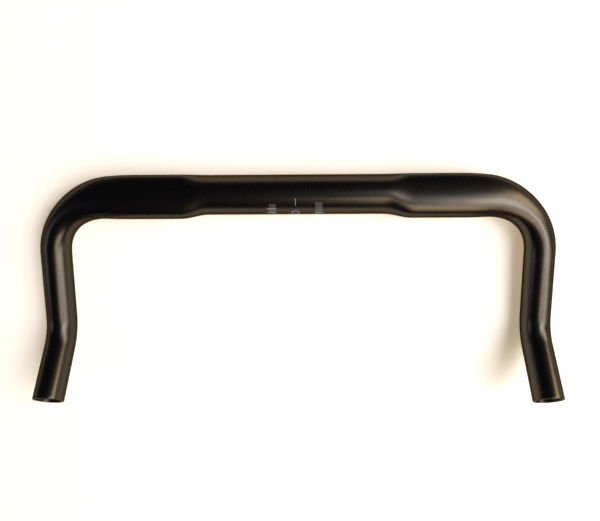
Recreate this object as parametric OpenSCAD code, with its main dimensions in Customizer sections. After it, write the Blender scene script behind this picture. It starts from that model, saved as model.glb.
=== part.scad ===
// Aero base handlebar: one formed aluminium tube, round where the stem holds it, pressed to a
// wing along the tops, which is blunt in front and thin behind, bent forward at both corners and
// kicked up at the two open ends.
// Origin at the middle of the clamp's axis, +X to the rider's right, forward along -Y, +Z up.

/* [Clamp] */
// Outer diameter of the round middle that the stem holds
clamp_d = 31.8; // [25.4:0.1:35]
// Length of the round middle
clamp_length = 136; // [80:1:170]
// Wall of the round middle
clamp_wall = 2.6; // [1.8:0.1:4]

/* [Wing] */
// Front-to-back width of the flattened tops
wing_chord = 35.2; // [30:0.1:44]
// Top-to-bottom height of the flattened tops
wing_height = 22.4; // [18:0.1:30]
// Bluntness of the wing's front edge: 0 is an ellipse, more makes the back edge thinner
wing_nose = 0.38; // [0:0.01:0.5]
// How far the wing's middle lies in front of the clamp's axis
wing_forward = 1.1; // [0:0.1:3]
// Length over which the round middle flattens into the wing
wing_blend = 26; // [16:1:34]
// Wall of the wing
wing_wall = 2.3; // [1.6:0.1:3]
// Length over which the wing narrows to the round arm, on its way through the corner
wing_taper = 92; // [60:1:100]
// How far the section's middle moves toward the inside of the corner halfway through the taper
taper_shift = 1.2; // [0:0.1:3]

/* [Arms] */
// Outer diameter of the arms
arm_d = 23.8; // [20:0.1:26]
// Wall of the arms
arm_wall = 2; // [1.2:0.1:3]
// Distance between the middles of the two open ends
end_spacing = 400; // [380:1:460]
// Radius of the corner's centre line
corner_radius = 48; // [36:1:60]
// Last stretch of the corner, which is already round
corner_round = 6.5; // [2:0.5:20]
// Angle by which each arm spreads outward
arm_spread = 1; // [0:0.1:6]
// Angle by which the bar's plane dips forward, which brings the arms level with the clamp's underside
plane_dip = 2.2; // [0:0.1:8]
// Straight stretch of the arm between the corner and the kick
arm_straight = 54; // [20:1:120]
// Radius of the kick's centre line
kick_radius = 42; // [24:1:80]
// Angle by which the kick turns the end upward
kick_angle = 36; // [10:1:60]
// Straight stretch at the open end
end_straight = 44; // [20:1:100]
// Width of the bevel on both edges of the open end
rim_bevel = 0.4; // [0.1:0.1:0.6]

/* [Hidden] */

// Facets round the lofted skin and round its hollow, and round the true tubes
SKIN_SIDES = 48;
HOLLOW_SIDES = 20;
$fn = 96;

// Rings along the clamp's blend and degrees of corner between two rings, for skin and hollow
SKIN_BLEND_STEPS = 8;
HOLLOW_BLEND_STEPS = 5;
SKIN_CORNER_STEP = 5.5;
HOLLOW_CORNER_STEP = 9;

// Lofts and kicks run this far into the straight tube at each end and are this much smaller
// in radius, so that they end inside the tube's true round edge
LAP = 1;
LAP_CLEARANCE = 0.02;
// Cuts run this far past the faces they open
PAST = 1;

corner_turn = 90 - arm_spread;
corner_arc = corner_radius * corner_turn * PI / 180;
// How far outward the arm's spread carries the end beyond the corner
spread_reach = sin(arm_spread)
    * (arm_straight + kick_radius * sin(kick_angle) + end_straight * cos(kick_angle));
// Where the tops stop being straight and the corner begins
corner_start = end_spacing / 2 - corner_radius * sin(corner_turn) - spread_reach;
corner_end = corner_start + corner_arc;
// How far the wing lies above the clamp's axis, which keeps its top level with the clamp's
wing_lift = (clamp_d - wing_height) / 2;
blend_start = clamp_length / 2;
blend_end = blend_start + wing_blend;
taper_end = corner_end - corner_round;
taper_start = max(blend_end + LAP, taper_end - wing_taper);

// Goes from 0 to 1 as t passes from a to b, and leaves both ends without a jump in curvature
function ease(t, a, b) =
    let (u = min(1, max(0, (t - a) / (b - a))))
    u * u * u * (u * (6 * u - 15) + 10);

// How much of the wing's form the section has at a distance along the centre line
function wing_share(s) = ease(s, blend_start, blend_end);
// How much of the arm's form the section has there
function arm_share(s) = ease(s, taper_start, taper_end);

// A size that goes from the clamp's value to the wing's and on to the arm's
function along(s, clamp_value, wing_value, arm_value) =
    let (to_wing = clamp_value + (wing_value - clamp_value) * wing_share(s))
    to_wing + (arm_value - to_wing) * arm_share(s);

// Angle turned by the corner at a distance along the centre line
function turned(s) = min(corner_turn, max(0, (s - corner_start) / corner_radius * 180 / PI));

// Place of the centre line in the bar's plane: straight tops, round corner, straight arm
function place(s) =
    let (
        t = turned(s),
        before = min(s, corner_start),
        after = max(0, s - corner_end)
    )
    [
        before + corner_radius * sin(t) + after * cos(t),
        -corner_radius * (1 - cos(t)) - after * sin(t)
    ];

// Height of the section at an angle, where its greatest height is 1 and lies forward of the middle
function tear(angle, nose) =
    let (c = nose == 0 ? 0 : (sqrt(1 + 8 * nose * nose) - 1) / (4 * nose))
    sin(angle) * (1 + nose * cos(angle)) / (sqrt(1 - c * c) * (1 + nose * c));

// One closed ring of the skin, taken in by a wall thickness for the hollow
function ring(s, sides, inset) =
    let (
        t = turned(s),
        centre = place(s),
        side = [-sin(t), -cos(t)],
        half_chord = along(s, clamp_d, wing_chord, arm_d) / 2 - inset,
        half_height = along(s, clamp_d, wing_height, arm_d) / 2 - inset,
        halfway = 4 * arm_share(s) * (1 - arm_share(s)),
        shift = along(s, 0, wing_forward, 0) + taper_shift * halfway,
        lift = along(s, 0, wing_lift, 0),
        nose = along(s, 0, wing_nose, 0)
    )
    [
        for (i = [0 : sides - 1])
            let (
                angle = 360 * i / sides,
                across = shift + half_chord * cos(angle),
                up = lift + half_height * tear(angle, nose)
            )
            [centre[0] + side[0] * across, centre[1] + side[1] * across, up]
    ];

// Distances along the centre line at which the skin or the hollow has a ring
function stations(blend_steps, corner_step) =
    let (
        corner_length = corner_end - taper_start,
        corner_steps = ceil(corner_length / (corner_radius * corner_step * PI / 180))
    )
    [
        blend_start - LAP,
        for (i = [0 : blend_steps]) blend_start + wing_blend * i / blend_steps,
        for (i = [0 : corner_steps]) taper_start + corner_length * i / corner_steps,
        corner_end + LAP
    ];

// Closed solid through a list of rings that have the same number of points
module loft(rings) {
    sides = len(rings[0]);
    last = len(rings) - 1;
    walls = [
        for (i = [0 : last - 1], j = [0 : sides - 1])
            let (
                a = i * sides + j,
                b = i * sides + (j + 1) % sides
            )
            each [[a, b, b + sides], [a, b + sides, a + sides]]
    ];
    first_cap = [for (j = [sides - 1 : -1 : 0]) j];
    last_cap = [for (j = [0 : sides - 1]) last * sides + j];
    polyhedron([for (r = rings) each r], [first_cap, each walls, last_cap], convexity = 6);
}

// Wing and corner of one side, solid
module wing_skin() {
    loft([
        for (s = stations(SKIN_BLEND_STEPS, SKIN_CORNER_STEP))
            ring(s, SKIN_SIDES, LAP_CLEARANCE)
    ]);
}

// The hollow inside wing and corner
module wing_hollow() {
    loft([
        for (s = stations(HOLLOW_BLEND_STEPS, HOLLOW_CORNER_STEP))
            ring(s, HOLLOW_SIDES, along(s, clamp_wall, wing_wall, arm_wall) + LAP_CLEARANCE)
    ]);
}

// Puts its children at the corner's end, with +X along the arm
module at_arm() {
    translate(place(corner_end)) rotate([0, 0, -corner_turn]) children();
}

// Puts its children at the open end's root, with +Z along the end
module at_end() {
    at_arm()
        translate([
            arm_straight + kick_radius * sin(kick_angle),
            0,
            kick_radius * (1 - cos(kick_angle))
        ])
            rotate([0, 90 - kick_angle, 0])
                children();
}

// A round rod along one arm: straight, kick and straight end, which runs past its mouth by a length
module arm_rod(d, past) {
    lap_angle = LAP / kick_radius * 180 / PI;
    at_arm() {
        rotate([0, 90, 0]) cylinder(d = d, h = arm_straight);
        translate([arm_straight, 0, kick_radius])
            rotate([0, 90 + lap_angle, 0])
                rotate([90, 0, 0])
                    rotate_extrude(angle = kick_angle + 2 * lap_angle)
                        translate([kick_radius, 0])
                            circle(d = d - 2 * LAP_CLEARANCE);
    }
    at_end() cylinder(d = d, h = end_straight + past);
}

// Ring that takes the bevel off the outer edge of the open end
module outer_bevel() {
    at_end()
        translate([0, 0, end_straight])
            rotate_extrude()
                polygon([
                    [arm_d / 2 - rim_bevel, 0],
                    [arm_d / 2, -rim_bevel],
                    [arm_d / 2 + PAST, -rim_bevel],
                    [arm_d / 2 + PAST, PAST],
                    [arm_d / 2 - rim_bevel, PAST]
                ]);
}

// Cone that takes the bevel off the inner edge of the open end
module inner_bevel() {
    bore_r = arm_d / 2 - arm_wall;
    at_end()
        translate([0, 0, end_straight - rim_bevel])
            cylinder(r1 = bore_r, r2 = bore_r + rim_bevel + PAST, h = rim_bevel + PAST);
}

module both_sides() {
    children();
    mirror([1, 0, 0]) children();
}

// A rod along the clamp's axis
module clamp_rod(d) {
    rotate([0, 90, 0]) cylinder(d = d, h = clamp_length, center = true);
}

module handlebar() {
    color("#1d1b1c")
        rotate([plane_dip, 0, 0])
            difference() {
                union() {
                    clamp_rod(clamp_d);
                    both_sides() {
                        wing_skin();
                        arm_rod(arm_d, 0);
                    }
                }
                clamp_rod(clamp_d - 2 * clamp_wall);
                both_sides() {
                    wing_hollow();
                    arm_rod(arm_d - 2 * arm_wall, PAST);
                    outer_bevel();
                    inner_bevel();
                }
            }
}

handlebar();
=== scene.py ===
"""Looks of the bullhorn handlebar: a smooth skin over the fixed solid, its satin black finish, the
printed clamp scale, and a white table under soft light.

Lengths in the shape's own values are millimetres, as on a drawing. They become metres where meshes are made.
"""

import math

import bpy
from mathutils import Matrix, Vector


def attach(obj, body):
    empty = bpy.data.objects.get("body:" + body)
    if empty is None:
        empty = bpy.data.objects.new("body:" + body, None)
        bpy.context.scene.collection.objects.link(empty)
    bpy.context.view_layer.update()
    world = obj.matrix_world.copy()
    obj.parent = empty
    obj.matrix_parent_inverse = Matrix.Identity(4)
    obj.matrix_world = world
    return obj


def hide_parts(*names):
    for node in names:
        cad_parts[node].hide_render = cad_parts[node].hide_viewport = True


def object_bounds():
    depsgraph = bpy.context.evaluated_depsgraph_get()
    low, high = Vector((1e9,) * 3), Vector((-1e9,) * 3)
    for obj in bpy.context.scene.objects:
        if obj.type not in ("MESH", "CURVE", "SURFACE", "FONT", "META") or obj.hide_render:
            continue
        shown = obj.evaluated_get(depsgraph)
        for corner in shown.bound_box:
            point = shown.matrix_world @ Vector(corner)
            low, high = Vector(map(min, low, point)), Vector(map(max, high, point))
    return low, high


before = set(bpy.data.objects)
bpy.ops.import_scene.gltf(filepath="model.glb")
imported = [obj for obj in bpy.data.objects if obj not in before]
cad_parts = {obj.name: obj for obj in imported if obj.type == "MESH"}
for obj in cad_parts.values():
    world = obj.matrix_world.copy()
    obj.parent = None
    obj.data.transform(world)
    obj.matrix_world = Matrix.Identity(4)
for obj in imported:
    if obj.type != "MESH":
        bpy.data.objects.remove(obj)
cad_low, cad_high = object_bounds()

MM = 0.001

# Clamp
CLAMP_D = 31.8
CLAMP_LENGTH = 136
CLAMP_WALL = 2.6
# Wing
WING_CHORD = 35.2
WING_HEIGHT = 22.4
WING_NOSE = 0.38
WING_LIFT = (CLAMP_D - WING_HEIGHT) / 2
WING_FORWARD = 1.1
WING_BLEND = 26
WING_WALL = 2.3
WING_TAPER = 92
TAPER_SHIFT = 1.2
# Arms
ARM_D = 23.8
ARM_WALL = 2
END_SPACING = 400
CORNER_RADIUS = 48
CORNER_ROUND = 6.5
ARM_SPREAD = math.radians(1)
PLANE_DIP = math.radians(2.2)
ARM_STRAIGHT = 54
KICK_RADIUS = 42
KICK_ANGLE = math.radians(36)
END_STRAIGHT = 44
RIM_BEVEL = 0.4

# Mesh density: points round the tube, and the longest step between two rings
SIDES = 96
SKIN_STEP = 2.0
HOLLOW_STEP = 6.0
BEVEL_STEPS = 3

CORNER_TURN = math.pi / 2 - ARM_SPREAD
CORNER_ARC = CORNER_RADIUS * CORNER_TURN
SPREAD_REACH = math.sin(ARM_SPREAD) * (
    ARM_STRAIGHT + KICK_RADIUS * math.sin(KICK_ANGLE) + END_STRAIGHT * math.cos(KICK_ANGLE)
)
CORNER_START = END_SPACING / 2 - CORNER_RADIUS * math.sin(CORNER_TURN) - SPREAD_REACH
CORNER_END = CORNER_START + CORNER_ARC
BLEND_START = CLAMP_LENGTH / 2
BLEND_END = BLEND_START + WING_BLEND
TAPER_END = CORNER_END - CORNER_ROUND
TAPER_START = max(BLEND_END, TAPER_END - WING_TAPER)
KICK_START = CORNER_END + ARM_STRAIGHT
KICK_END = KICK_START + KICK_RADIUS * KICK_ANGLE
MOUTH = KICK_END + END_STRAIGHT


def ease(t, start, end):
    u = min(1, max(0, (t - start) / (end - start)))
    return u * u * u * (u * (6 * u - 15) + 10)


def along(s, clamp_value, wing_value, arm_value):
    """A size that goes from the clamp's value to the wing's and on to the arm's."""
    to_wing = clamp_value + (wing_value - clamp_value) * ease(s, BLEND_START, BLEND_END)
    return to_wing + (arm_value - to_wing) * ease(s, TAPER_START, TAPER_END)


def station(s):
    """Centre of the tube at a distance along its centre line, with the side and up directions there."""
    turn = min(CORNER_TURN, max(0, (s - CORNER_START) / CORNER_RADIUS))
    forward = Vector((math.cos(turn), -math.sin(turn), 0))
    side = Vector((-math.sin(turn), -math.cos(turn), 0))
    centre = Vector((min(s, CORNER_START) + CORNER_RADIUS * math.sin(turn), 0, 0))
    centre.y = -CORNER_RADIUS * (1 - math.cos(turn))
    centre += forward * max(0, min(s, KICK_START) - CORNER_END)
    kick = min(KICK_ANGLE, max(0, (s - KICK_START) / KICK_RADIUS))
    rise = Vector((0, 0, 1))
    centre += forward * KICK_RADIUS * math.sin(kick)
    centre += rise * KICK_RADIUS * (1 - math.cos(kick))
    kicked = forward * math.cos(kick) + rise * math.sin(kick)
    centre += kicked * max(0, s - KICK_END)
    up = rise * math.cos(kick) - forward * math.sin(kick)
    return centre, side, up


def crest(nose):
    """Greatest height of the section before it is scaled, which lies forward of the middle."""
    if nose == 0:
        return 1
    c = (math.sqrt(1 + 8 * nose * nose) - 1) / (4 * nose)
    return math.sqrt(1 - c * c) * (1 + nose * c)


def ring(s, inset):
    """One ring of points round the tube, taken in by an inset."""
    centre, side, up = station(s)
    half_chord = along(s, CLAMP_D, WING_CHORD, ARM_D) / 2 - inset
    half_height = along(s, CLAMP_D, WING_HEIGHT, ARM_D) / 2 - inset
    share = ease(s, TAPER_START, TAPER_END)
    shift = along(s, 0, WING_FORWARD, 0) + TAPER_SHIFT * 4 * share * (1 - share)
    lift = along(s, 0, WING_LIFT, 0)
    nose = along(s, 0, WING_NOSE, 0)
    points = []
    for i in range(SIDES):
        angle = math.tau * i / SIDES
        across = shift + half_chord * math.cos(angle)
        height = lift + half_height * math.sin(angle) * (1 + nose * math.cos(angle)) / crest(nose)
        points.append(centre + side * across + up * height)
    return points


def spread(start, end, step):
    """Even distances from start up to but not including end."""
    count = max(1, math.ceil((end - start) / step))
    return [start + (end - start) * i / count for i in range(count)]


def distances(step, end):
    """Distances along half of the centre line at which the tube has a ring."""
    marks = [0, BLEND_START, BLEND_END, CORNER_START, CORNER_END, KICK_START, KICK_END, end]
    found = []
    for a, b in zip(marks, marks[1:]):
        found += spread(a, b, step)
    return found + [end]


def mirrored(points):
    """The same ring on the left side."""
    return [Vector((-p.x, p.y, p.z)) for p in points]


def half_rings():
    """Rings of the right half: out over the skin, round the rim and back through the hollow."""
    skin = [ring(s, 0) for s in distances(SKIN_STEP, MOUTH - RIM_BEVEL)]
    rim = []
    for i in range(1, BEVEL_STEPS + 1):
        angle = math.pi / 2 * i / BEVEL_STEPS
        rim.append(ring(MOUTH - RIM_BEVEL * (1 - math.sin(angle)), RIM_BEVEL * (1 - math.cos(angle))))
    for i in range(BEVEL_STEPS + 1):
        angle = math.pi / 2 * i / BEVEL_STEPS
        inset = ARM_WALL - RIM_BEVEL * (1 - math.sin(angle))
        rim.append(ring(MOUTH - RIM_BEVEL * (1 - math.cos(angle)), inset))
    hollow = []
    for s in reversed(distances(HOLLOW_STEP, MOUTH - RIM_BEVEL)[:-1]):
        hollow.append(ring(s, along(s, CLAMP_WALL, WING_WALL, ARM_WALL)))
    return skin, rim, hollow


def new_piece(name, points, faces, material):
    """A smooth mesh object whose points are in millimetres in the bar's own plane."""
    dip = Matrix.Rotation(PLANE_DIP, 4, "X")
    mesh = bpy.data.meshes.new(name)
    mesh.from_pydata([dip @ (p * MM) for p in points], [], faces)
    mesh.validate()
    mesh.materials.append(material)
    for polygon in mesh.polygons:
        polygon.use_smooth = True
    piece = bpy.data.objects.new(name, mesh)
    bpy.context.scene.collection.objects.link(piece)
    return piece


def make_bar(material):
    """The whole tube as one closed surface, skin and hollow."""
    skin, rim, hollow = half_rings()
    right = skin + rim + hollow
    left = [mirrored(r) for r in reversed(right[1:-1])]
    rings = right + left
    points = [p for r in rings for p in r]
    faces = []
    for a in range(len(rings)):
        b = (a + 1) % len(rings)
        for i in range(SIDES):
            j = (i + 1) % SIDES
            faces.append((a * SIDES + i, a * SIDES + j, b * SIDES + j, b * SIDES + i))
    return new_piece("bar", points, faces, material)


# Finish of the metal and of the print. Scales of noise are in bumps a metre, and a span is the stretch of
# the noise over which the darker tone gives way to the lighter one
NOISE_DETAIL = 2.0
DYE_SCALE = 35
GRAIN_SCALE = 2600
DYE_SPAN = (0.3, 0.7)
DYE_DARK = (0.056, 0.047, 0.036)
DYE_LIGHT = (0.064, 0.053, 0.041)
EDGE_TINT = (0.36, 0.33, 0.28, 1)
METAL_IOR = 1.5
GLOSS_FROM = 0.24
GLOSS_TO = 0.30
GRAIN_STRENGTH = 0.06
GRAIN_DEPTH = 0.02 * MM
SPECKLE_SCALE = 1800
SPECKLE_SPAN = (0.35, 0.6)
PRINT_DARK = (0.21, 0.185, 0.17)
PRINT_LIGHT = (0.27, 0.24, 0.22)
PRINT_ROUGHNESS = 0.55


class Nodes:
    """Short way to add shader nodes and join them."""

    def __init__(self, name):
        self.material = bpy.data.materials.new(name)
        self.material.use_nodes = True
        self.tree = self.material.node_tree
        self.shader = self.tree.nodes["Principled BSDF"]

    def add(self, kind, **values):
        node = self.tree.nodes.new(kind)
        for key, value in values.items():
            if key in node.inputs:
                node.inputs[key].default_value = value
            else:
                setattr(node, key, value)
        return node

    def join(self, output, socket):
        self.tree.links.new(output, socket)


def noise(nodes, place, scale):
    """Noise at a scale in bumps a metre, in the object's own space."""
    found = nodes.add("ShaderNodeTexNoise", Scale=scale, Detail=NOISE_DETAIL)
    nodes.join(place.outputs["Object"], found.inputs["Vector"])
    return found


def two_tones(nodes, factor, span, dark, light):
    """Colour ramp between two tones over a span of a factor."""
    ramp = nodes.add("ShaderNodeValToRGB")
    for element, position, tone in zip(ramp.color_ramp.elements, span, (dark, light)):
        element.position = position
        element.color = (*tone, 1)
    nodes.join(factor, ramp.inputs["Fac"])
    return ramp.outputs["Color"]


def to_range(nodes, factor, low, high):
    """Number between low and high that follows a factor."""
    span = nodes.add("ShaderNodeMapRange")
    span.inputs["To Min"].default_value = low
    span.inputs["To Max"].default_value = high
    nodes.join(factor, span.inputs["Value"])
    return span.outputs["Result"]


def satin_black():
    """Anodised aluminium, blasted before it was dyed: a fine grain and a slightly uneven dye."""
    nodes = Nodes("satin_black")
    place = nodes.add("ShaderNodeTexCoord")
    cloud = noise(nodes, place, DYE_SCALE)
    grain = noise(nodes, place, GRAIN_SCALE)
    tone = two_tones(nodes, cloud.outputs["Fac"], DYE_SPAN, DYE_DARK, DYE_LIGHT)
    nodes.join(tone, nodes.shader.inputs["Base Color"])
    gloss = to_range(nodes, grain.outputs["Fac"], GLOSS_FROM, GLOSS_TO)
    nodes.join(gloss, nodes.shader.inputs["Roughness"])
    bump = nodes.add("ShaderNodeBump", Strength=GRAIN_STRENGTH, Distance=GRAIN_DEPTH)
    nodes.join(grain.outputs["Fac"], bump.inputs["Height"])
    nodes.join(bump.outputs["Normal"], nodes.shader.inputs["Normal"])
    nodes.shader.inputs["IOR"].default_value = METAL_IOR
    nodes.shader.inputs["Metallic"].default_value = 1
    nodes.shader.inputs["Specular Tint"].default_value = EDGE_TINT
    return nodes.material


def print_grey():
    """Thin grey print on the clamp, a little uneven."""
    nodes = Nodes("print_grey")
    place = nodes.add("ShaderNodeTexCoord")
    speckle = noise(nodes, place, SPECKLE_SCALE)
    tone = two_tones(nodes, speckle.outputs["Fac"], SPECKLE_SPAN, PRINT_DARK, PRINT_LIGHT)
    nodes.join(tone, nodes.shader.inputs["Base Color"])
    nodes.shader.inputs["Roughness"].default_value = PRINT_ROUGHNESS
    return nodes.material


# Marks on the clamp. Angles are in degrees, measured forward from the clamp's top in the bar's own plane
PRINT_HEIGHT = 0.03
PRINT_ROOT = 0.05
SCALE_X = 15.4
SCALE_PITCH = 3.6
SCALE_LAST = 120
# Side, angle of the first tick and angle of the first long tick of each scale
SCALES = [(-1, 25.5, 39.9), (1, 20.1, 59.7)]
LONG_EVERY = 5
TICK_LENGTH = 5.4
LONG_TICK_EXTRA = 1.5
TICK_WIDTH = 0.24
LONG_TICK_WIDTH = 0.9
LINE_FROM = 6.7
LINE_TO = 30.2
LINE_WIDTH = 0.55
LINE_STEPS = 12
RING_ANGLE = 60
RING_RADIUS = 3.3
RING_WIDTH = 1
RING_STEPS = 48


def on_clamp(x, degrees, height):
    """A point above the clamp's surface at a place along it and an angle forward of its top."""
    angle = math.radians(degrees)
    r = CLAMP_D / 2 + height
    return Vector((x, -r * math.sin(angle), r * math.cos(angle)))


class Patch:
    """Collects closed thin blocks of print that follow the clamp."""

    def __init__(self):
        self.points = []
        self.faces = []

    def strip(self, pairs, closed=False):
        """A band between pairs of (x, degrees) edge places, from its root to its top."""
        base = len(self.points)
        for first, second in pairs:
            self.points += [
                on_clamp(*first, PRINT_HEIGHT),
                on_clamp(*second, PRINT_HEIGHT),
                on_clamp(*second, -PRINT_ROOT),
                on_clamp(*first, -PRINT_ROOT),
            ]
        count = len(pairs)
        for k in range(count if closed else count - 1):
            a = base + 4 * k
            b = base + 4 * ((k + 1) % count)
            for i in range(4):
                j = (i + 1) % 4
                self.faces.append((a + i, a + j, b + j, b + i))
        if not closed:
            last = base + 4 * (count - 1)
            self.faces.append((base + 3, base + 2, base + 1, base))
            self.faces.append((last, last + 1, last + 2, last + 3))


def degrees_of(arc):
    """Angle on the clamp's surface that an arc of that many millimetres takes."""
    return math.degrees(arc / (CLAMP_D / 2))


def add_tick(patch, x_from, x_to, angle, width):
    half = degrees_of(width) / 2
    patch.strip([((x, angle - half), (x, angle + half)) for x in (x_from, x_to)])


def add_scale(patch, side, first, first_long):
    """Column of ticks a millimetre apart, with a longer one every five from a certain angle on."""
    for k in range(round((SCALE_LAST - first) / SCALE_PITCH) + 1):
        angle = first + SCALE_PITCH * k
        since_long = round((angle - first_long) / SCALE_PITCH)
        long_one = since_long >= 0 and since_long % LONG_EVERY == 0
        length = TICK_LENGTH + (LONG_TICK_EXTRA if long_one else 0)
        ends = (side * SCALE_X, side * (SCALE_X + length))
        width = LONG_TICK_WIDTH if long_one else TICK_WIDTH
        add_tick(patch, min(ends), max(ends), angle, width)


def add_centre_line(patch):
    pairs = []
    for k in range(LINE_STEPS + 1):
        angle = LINE_FROM + (LINE_TO - LINE_FROM) * k / LINE_STEPS
        pairs.append(((LINE_WIDTH / 2, angle), (-LINE_WIDTH / 2, angle)))
    patch.strip(pairs)


def add_ring(patch):
    """Plain ring in front of the centre line."""
    pairs = []
    for k in range(RING_STEPS):
        turn = math.tau * k / RING_STEPS
        pair = []
        for r in (RING_RADIUS, RING_RADIUS - RING_WIDTH):
            pair.append((r * math.cos(turn), RING_ANGLE + degrees_of(r * math.sin(turn))))
        pairs.append(tuple(pair))
    patch.strip(pairs, closed=True)


def make_marks(material):
    patch = Patch()
    for side, first, first_long in SCALES:
        add_scale(patch, side, first, first_long)
    add_centre_line(patch)
    add_ring(patch)
    marks = new_piece("clamp_marks", patch.points, patch.faces, material)
    for polygon in marks.data.polygons:
        polygon.use_smooth = False
    return marks


# Table, in metres. Its glow near the bar is low and warm, which paints a warm tone into its shadows, and far
# off makes it a white backdrop
FLOOR_SIZE = 12
FLOOR_COLOUR = (0.84, 0.84, 0.84)
# Glow near the bar: a painted warm shade tone, which shows where the lamps are blocked
WARM_SHADE_GLOW = (0.42, 0.33, 0.20)
FAR_GLOW = (1, 1, 1)
NEAR_RADIUS = 0.4
FAR_RADIUS = 1.5
FLOOR_ROUGHNESS = 0.9
FLOOR_SPECULAR = 0.1


def join_values(tree, operation, first, second):
    """Output of a maths node over two values."""
    node = tree.nodes.new("ShaderNodeMath")
    node.operation = operation
    tree.links.new(first, node.inputs[0])
    tree.links.new(second, node.inputs[1])
    return node.outputs[0]


def add_background(tree, diffuse_output, glow, out):
    """Adds a glow that only camera, glossy and transmission rays see, so that shadows stay."""
    path = tree.nodes.new("ShaderNodeLightPath")
    seen = path.outputs["Is Camera Ray"]
    for name in ("Is Glossy Ray", "Is Transmission Ray"):
        seen = join_values(tree, "MAXIMUM", seen, path.outputs[name])
    emission = tree.nodes.new("ShaderNodeEmission")
    tree.links.new(glow, emission.inputs["Color"])
    tree.links.new(seen, emission.inputs["Strength"])
    total = tree.nodes.new("ShaderNodeAddShader")
    tree.links.new(diffuse_output, total.inputs[0])
    tree.links.new(emission.outputs[0], total.inputs[1])
    tree.links.new(total.outputs[0], out)


def glow_with_warm_shade_tone(nodes):
    """Colour of the table's glow, which grows from the bar outward: low and warm near it, a painted warm
    shade tone in its shadows, and white far off.
    """
    place = nodes.add("ShaderNodeTexCoord")
    radius = nodes.add("ShaderNodeVectorMath", operation="LENGTH")
    nodes.join(place.outputs["Object"], radius.inputs[0])
    share = nodes.add("ShaderNodeMapRange", interpolation_type="SMOOTHSTEP")
    share.inputs["From Min"].default_value = NEAR_RADIUS
    share.inputs["From Max"].default_value = FAR_RADIUS
    nodes.join(radius.outputs["Value"], share.inputs["Value"])
    return two_tones(nodes, share.outputs["Result"], (0, 1), WARM_SHADE_GLOW, FAR_GLOW)


def make_floor():
    """White table that the bar lies on."""
    nodes = Nodes("table_white")
    nodes.shader.inputs["Base Color"].default_value = (*FLOOR_COLOUR, 1)
    nodes.shader.inputs["Roughness"].default_value = FLOOR_ROUGHNESS
    nodes.shader.inputs["Specular IOR Level"].default_value = FLOOR_SPECULAR
    out = nodes.tree.nodes["Material Output"].inputs["Surface"]
    add_background(nodes.tree, nodes.shader.outputs[0], glow_with_warm_shade_tone(nodes), out)
    half = FLOOR_SIZE / 2
    corners = [(-half, -half, 0), (half, -half, 0), (half, half, 0), (-half, half, 0)]
    mesh = bpy.data.meshes.new("table")
    mesh.from_pydata(corners, [], [(0, 1, 2, 3)])
    mesh.materials.append(nodes.material)
    table = bpy.data.objects.new("table", mesh)
    table.location.z = cad_low.z
    bpy.context.scene.collection.objects.link(table)


# Light from the room's ceiling, and the heights (sine of the elevation) between which the white backdrop
# that metal shows gives way to that ceiling
CEILING_LIGHT = (0.025, 0.03, 0.055)
BACKDROP_FROM = 0.06
BACKDROP_TO = 0.2


def make_world():
    """White backdrop for the camera, white near the table in reflections, and a dim ceiling for the rest."""
    world = bpy.data.worlds.new("room")
    bpy.context.scene.world = world
    world.use_nodes = True
    tree = world.node_tree
    background = tree.nodes["Background"]
    path = tree.nodes.new("ShaderNodeLightPath")
    place = tree.nodes.new("ShaderNodeTexCoord")
    split = tree.nodes.new("ShaderNodeSeparateXYZ")
    tree.links.new(place.outputs["Generated"], split.inputs["Vector"])
    low = tree.nodes.new("ShaderNodeMapRange")
    low.inputs["From Min"].default_value = BACKDROP_FROM
    low.inputs["From Max"].default_value = BACKDROP_TO
    low.inputs["To Min"].default_value = 1
    low.inputs["To Max"].default_value = 0
    tree.links.new(split.outputs["Z"], low.inputs["Value"])
    glossy = path.outputs["Is Glossy Ray"]
    reflected = join_values(tree, "MAXIMUM", glossy, path.outputs["Is Transmission Ray"])
    reflected = join_values(tree, "MULTIPLY", reflected, low.outputs["Result"])
    white = join_values(tree, "MAXIMUM", path.outputs["Is Camera Ray"], reflected)
    colour = tree.nodes.new("ShaderNodeMixRGB")
    colour.inputs["Color1"].default_value = (*CEILING_LIGHT, 1)
    colour.inputs["Color2"].default_value = (1, 1, 1, 1)
    tree.links.new(white, colour.inputs["Fac"])
    tree.links.new(colour.outputs["Color"], background.inputs["Color"])


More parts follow.
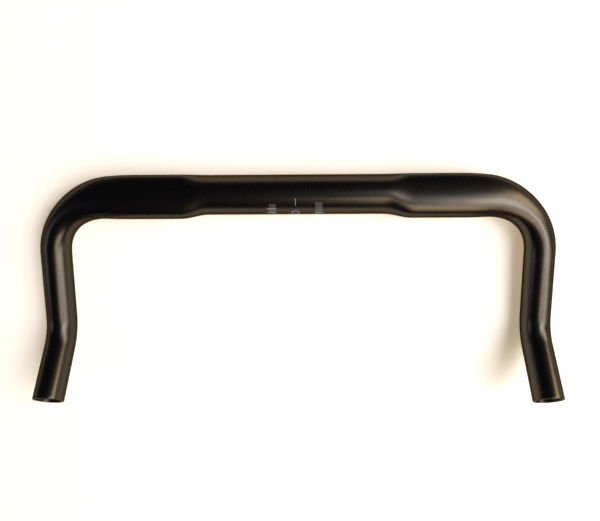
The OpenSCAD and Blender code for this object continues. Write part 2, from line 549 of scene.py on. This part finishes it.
# Lamps, all as far from the bar and as wide, in metres. Each has its azimuth and elevation seen from the
# bar in degrees, the share of a full light that it gives the table, and its colour. All but the last are
# one large window on the right, cool in its upper part and warmer near the table
AIM = Vector((0, -0.07, 0))
LAMP_DISTANCE = 2.5
LAMP_SIZE = 0.9
LAMPS = {
    "high_front": (310, 60, 0.16, (1.0, 0.95, 0.88)),
    "high_middle": (0, 60, 0.27, (1.0, 0.99, 1.0)),
    "high_back": (25, 60, 0.10, (0.75, 0.85, 1.0)),
    "front": (300, 44, 0.11, (1.0, 0.78, 0.52)),
    "right_front": (340, 44, 0.15, (0.80, 0.88, 1.0)),
    "right": (0, 44, 0.06, (1.0, 1.0, 1.0)),
    "right_back": (20, 44, 0.12, (1.0, 1.0, 0.97)),
    "low_right": (340, 28, 0.07, (1.0, 0.92, 0.75)),
    "low_back": (24, 28, 0.125, (1.0, 0.83, 0.60)),
    "left": (185, 28, 0.03, (0.65, 0.70, 1.0)),
}


def add_lamp(name, azimuth, elevation, share, colour):
    """Square soft lamp that faces the bar."""
    flat = math.cos(math.radians(elevation))
    toward = Vector((
        flat * math.cos(math.radians(azimuth)),
        flat * math.sin(math.radians(azimuth)),
        math.sin(math.radians(elevation)),
    ))
    lamp = bpy.data.lights.new(name, "AREA")
    lamp.shape = "SQUARE"
    lamp.size = LAMP_SIZE
    lamp.energy = share * math.pi**2 * LAMP_DISTANCE**2 / toward.z
    lamp.color = colour
    holder = bpy.data.objects.new(name, lamp)
    holder.location = AIM + toward * LAMP_DISTANCE
    holder.rotation_euler = (-toward).to_track_quat("-Z", "Y").to_euler()
    bpy.context.scene.collection.objects.link(holder)


# Camera fitted to the photograph: place in metres, turns about X, Y and Z, lens and sensor in millimetres,
# and the nearest and farthest that it sees in metres
CAMERA_PLACE = (0.00939, 0.01253, 0.40796)
CAMERA_TURNS = (-0.1608, 0.0154, -0.0038)
CAMERA_LENS = 30.305
SENSOR_WIDTH = 36
CLIP_NEAR = 0.01
CLIP_FAR = 50


def make_camera():
    data = bpy.data.cameras.new("camera")
    data.lens = CAMERA_LENS
    data.sensor_width = SENSOR_WIDTH
    data.clip_start = CLIP_NEAR
    data.clip_end = CLIP_FAR
    camera = bpy.data.objects.new("camera", data)
    camera.location = CAMERA_PLACE
    camera.rotation_mode = "ZYX"
    camera.rotation_euler = CAMERA_TURNS
    bpy.context.scene.collection.objects.link(camera)
    bpy.context.scene.camera = camera


make_camera()
make_world()
make_floor()
for name, values in LAMPS.items():
    add_lamp(name, *values)

bar = make_bar(satin_black())
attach(bar, "root")
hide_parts("handlebar")

marks = make_marks(print_grey())
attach(marks, "root")

bpy.context.scene.view_settings.view_transform = "Standard"
